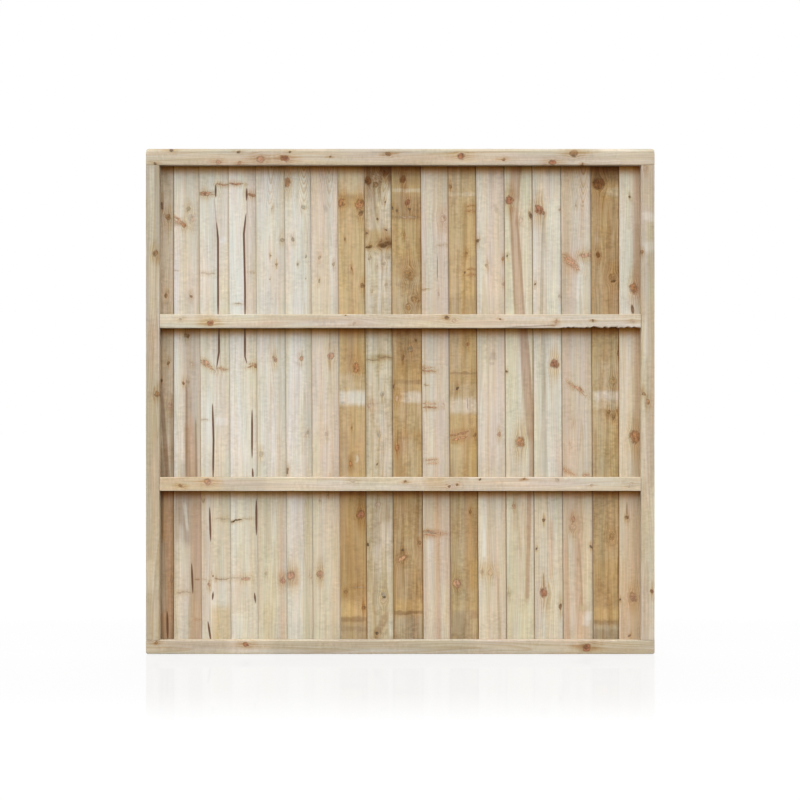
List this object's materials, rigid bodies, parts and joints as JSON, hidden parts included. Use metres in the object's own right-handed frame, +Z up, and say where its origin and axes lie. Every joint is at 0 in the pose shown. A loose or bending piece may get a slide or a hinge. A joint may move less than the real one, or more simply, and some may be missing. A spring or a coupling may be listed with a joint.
{
  "type": "closeboard fence panel",
  "caption": "Square timber fence panel: butt-jointed frame of stiles and rails with lapped vertical featheredge boards nailed to one side.",
  "frame": {"origin": "middle of the bottom rail's underside", "axes": "+X along the panel's width, +Y towards the boarded face, +Z up"},
  "size_m": [1.83, 0.0561, 1.819],
  "materials": {
    "frame_timber": "rough-sawn, pressure-treated softwood, weathered",
    "pale_board": "rough-sawn, pressure-treated softwood, weathered",
    "honey_board": "rough-sawn, pressure-treated softwood, weathered",
    "rosy_board": "rough-sawn, pressure-treated softwood, weathered",
    "grey_board": "rough-sawn, pressure-treated softwood, weathered",
    "galvanised_nail": "dull galvanised"
  },
  "bodies": {
    "root": {"top_rail": "frame_timber", "bottom_rail": "frame_timber", "left_stile": "frame_timber", "right_stile": "frame_timber", "upper_mid_rail": "frame_timber", "lower_mid_rail": "frame_timber", "board_01": "honey_board", "board_02": "pale_board", "board_03": "pale_board", "board_04": "pale_board", "board_05": "pale_board", "board_06": "pale_board", "board_07": "rosy_board", "board_08": "honey_board", "board_09": "grey_board", "board_10": "honey_board", "board_11": "rosy_board", "board_12": "honey_board", "board_13": "rosy_board", "board_14": "pale_board", "board_15": "pale_board", "board_16": "rosy_board", "board_17": "honey_board", "board_18": "pale_board", "board_nails": "galvanised_nail", "frame_nails": "galvanised_nail"}
  },
  "joints": []
}
